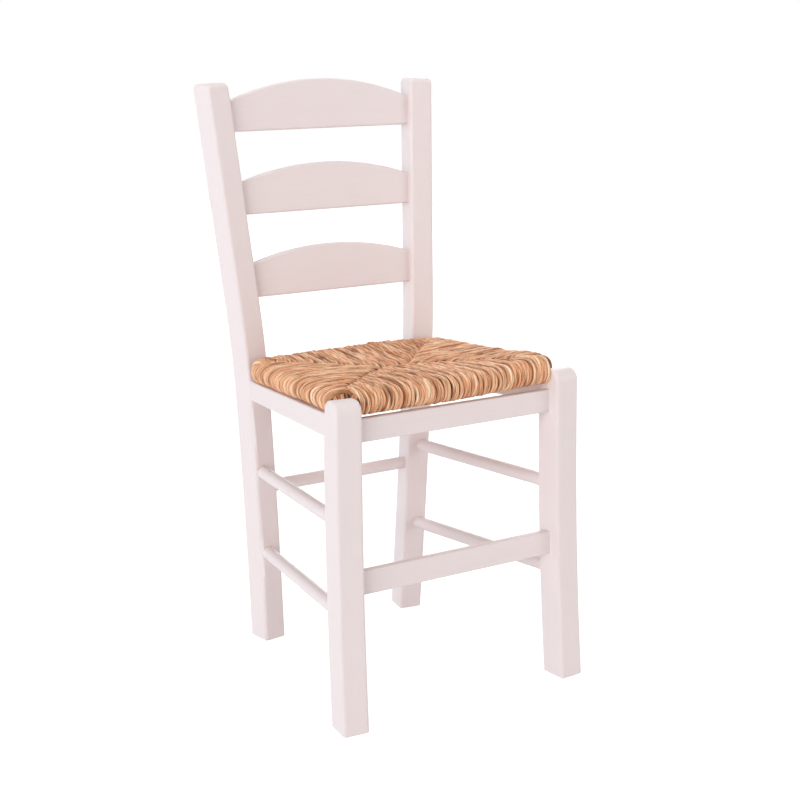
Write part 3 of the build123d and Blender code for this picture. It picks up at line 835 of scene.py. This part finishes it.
rush = rush_straw()
unit = unit_strand()
unit_facts = read_unit(unit)
front_left, front_right = (FRONT_LEFT, RUSH_FRONT), (FRONT_RIGHT, RUSH_FRONT)
notch_left, notch_right = (-HALF_WIDTH_FRONT, NOTCH_Y), (HALF_WIDTH_FRONT, NOTCH_Y)
rear_left, rear_right = (-HALF_WIDTH_REAR, RUSH_REAR), (HALF_WIDTH_REAR, RUSH_REAR)
front_edge = Edge(front_left, front_right, in_front, LEG_END, LEG_END, (DROOP, FRONT_END_DROOP))
right_edge = Edge(notch_right, rear_right, at_side(1), RIGHT_NOTCH_END, REAR_END, (0, 0))
rear_edge = Edge(rear_right, rear_left, behind, REAR_END, REAR_END, (0, 0))
left_edge = Edge(rear_left, notch_left, at_side(-1), REAR_END, NOTCH_END, (DROOP, DROOP))
wind_panel("rush_front", unit, unit_facts, edge_courses(front_edge), rush)
wind_panel("rush_rear", unit, unit_facts, edge_courses(rear_edge), rush)
for side, name, edge in ((1, "rush_right", right_edge), (-1, "rush_left", left_edge)):
    courses = edge_courses(edge) + corner_courses(side)
    courses += behind_leg_courses(side) + beside_leg_courses(side)
    wind_panel(name, unit, unit_facts, courses, rush)
bpy.data.objects.remove(unit, do_unlink=True)

# Finishes of the solid pieces, each with its grain along the piece.
paint_up = white_paint("white_paint_upright", "Z")
paint_across = white_paint("white_paint_across", "X")
paint_back = white_paint("white_paint_front_to_back", "Y")
wood_across = bare_wood("bare_wood_across", "X")
wood_back = bare_wood("bare_wood_front_to_back", "Y")
straw = chopped_straw()
steel = zinc_steel()


def finish_for(name):
    if name == "seat_screws":
        return steel
    if name.startswith("seat_frame"):
        return wood_across if "front" in name or "rear" in name else wood_back
    if name.startswith("seat_corner"):
        return wood_across
    if name.startswith("rush"):
        return straw
    if "post" in name or "leg" in name:
        return paint_up
    if "left" in name or "right" in name:
        return paint_back
    return paint_across


for node_name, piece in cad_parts.items():
    dress(piece, finish_for(node_name))

# Floor, light and camera. The camera sees the floor and the surroundings as white.
FLOOR_SIZE = 40.0
FLOOR_Z = -0.0005
FLOOR_COLOUR = (0.88, 0.87, 0.87, 1)
FLOOR_GLOW = 0.93
FLOOR_SHADE = (0.35, 0.35, 0.35, 1)
AMBIENT = 0.28
WHITE = (1, 1, 1, 1)
CHAIR_MIDDLE = (0, 0, 0.45)

# The photograph's camera, worked out from the chair's edges in it: yaw, pitch and roll in degrees.
CAMERA_TURN = (30.739, -13.569, -0.686)
CAMERA_PLACE = (-1.1083, -1.9011, 0.94075)
FOCAL_PIXELS = 1495.97
PHOTO_PIXELS = 800
SENSOR_MM = 36
CLIP_END = 200


def seen_directly(tree):
    """1 for what the camera sees, also by reflection or through a piece, and 0 for scattered light."""
    path = node(tree, "ShaderNodeLightPath", (-200, 300))
    seen = maths(tree, "MAXIMUM", path.outputs["Is Camera Ray"], path.outputs["Is Glossy Ray"], (100, 300))
    return maths(tree, "MAXIMUM", seen, path.outputs["Is Transmission Ray"], (250, 300))


def make_floor():
    deselect()
    bpy.ops.mesh.primitive_plane_add(size=FLOOR_SIZE, location=(0, 0, FLOOR_Z))
    floor = bpy.context.object
    floor.name = "floor"
    material = bpy.data.materials.new("white_floor")
    material.use_nodes = True
    tree = material.node_tree
    tree.nodes.clear()
    out = node(tree, "ShaderNodeOutputMaterial", (800, 0))
    both = node(tree, "ShaderNodeMixShader", (600, 0))
    matte = node(tree, "ShaderNodeBsdfDiffuse", (0, 0))
    matte.inputs["Color"].default_value = FLOOR_COLOUR
    pale = node(tree, "ShaderNodeAddShader", (400, -200))
    glow = node(tree, "ShaderNodeEmission", (0, -200))
    set_inputs(glow, {"Color": WHITE, "Strength": FLOOR_GLOW})
    thin = node(tree, "ShaderNodeBsdfDiffuse", (0, -400))
    thin.inputs["Color"].default_value = FLOOR_SHADE
    wire(tree, glow.outputs[0], pale.inputs[0])
    wire(tree, thin.outputs[0], pale.inputs[1])
    wire(tree, seen_directly(tree), both.inputs[0])
    wire(tree, matte.outputs[0], both.inputs[1])
    wire(tree, pale.outputs[0], both.inputs[2])
    wire(tree, both.outputs[0], out.inputs[0])
    dress(floor, material)


def make_world():
    world = bpy.data.worlds.new("studio")
    bpy.context.scene.world = world
    world.use_nodes = True
    tree = world.node_tree
    tree.nodes.clear()
    out = node(tree, "ShaderNodeOutputWorld", (600, 0))
    ambient = node(tree, "ShaderNodeBackground", (0, 0))
    set_inputs(ambient, {"Color": WHITE, "Strength": AMBIENT})
    white = node(tree, "ShaderNodeBackground", (0, -150))
    set_inputs(white, {"Color": WHITE, "Strength": 1.0})
    both = node(tree, "ShaderNodeMixShader", (400, 0))
    wire(tree, seen_directly(tree), both.inputs[0])
    wire(tree, ambient.outputs[0], both.inputs[1])
    wire(tree, white.outputs[0], both.inputs[2])
    wire(tree, both.outputs[0], out.inputs[0])


def softbox(name, place, size, power, colour=(1, 1, 1)):
    """A square lamp that faces the middle of the chair."""
    lamp = bpy.data.lights.new(name, "AREA")
    lamp.shape = "SQUARE"
    lamp.size = size
    lamp.energy = power
    lamp.color = colour
    holder = bpy.data.objects.new(name, lamp)
    bpy.context.collection.objects.link(holder)
    holder.location = place
    holder.rotation_euler = (Vector(CHAIR_MIDDLE) - Vector(place)).to_track_quat("-Z", "Y").to_euler()


def make_camera():
    yaw, pitch, roll = (math.radians(v) for v in CAMERA_TURN)
    ahead = Vector((math.sin(yaw) * math.cos(pitch), math.cos(yaw) * math.cos(pitch), math.sin(pitch)))
    level = Vector((math.cos(yaw), -math.sin(yaw), 0))
    above = level.cross(ahead)
    right = level * math.cos(roll) + above * math.sin(roll)
    up = -level * math.sin(roll) + above * math.cos(roll)
    lens = bpy.data.cameras.new("camera")
    lens.sensor_width = SENSOR_MM
    lens.sensor_fit = "HORIZONTAL"
    lens.lens = SENSOR_MM * FOCAL_PIXELS / PHOTO_PIXELS
    lens.clip_end = CLIP_END
    holder = bpy.data.objects.new("camera", lens)
    bpy.context.collection.objects.link(holder)
    turn = Matrix((right, up, -ahead)).transposed()
    holder.matrix_world = Matrix.Translation(CAMERA_PLACE) @ turn.to_4x4()
    bpy.context.scene.camera = holder


make_floor()
make_world()
softbox("left_key", (-7.0, -4.0, 1.6), 6.0, 484)
softbox("right_fill", (4.5, -4.5, 1.4), 4.0, 124, (1.0, 0.945, 0.93))
softbox("left_back", (-5.5, 3.5, 1.5), 4.0, 98, (0.72, 0.84, 1.0))
softbox("right_back", (4.5, 4.0, 1.3), 4.0, 140)
softbox("overhead", (0.2, 0.2, 5.5), 4.0, 112)
make_camera()

bpy.context.scene.view_settings.view_transform = "Standard"
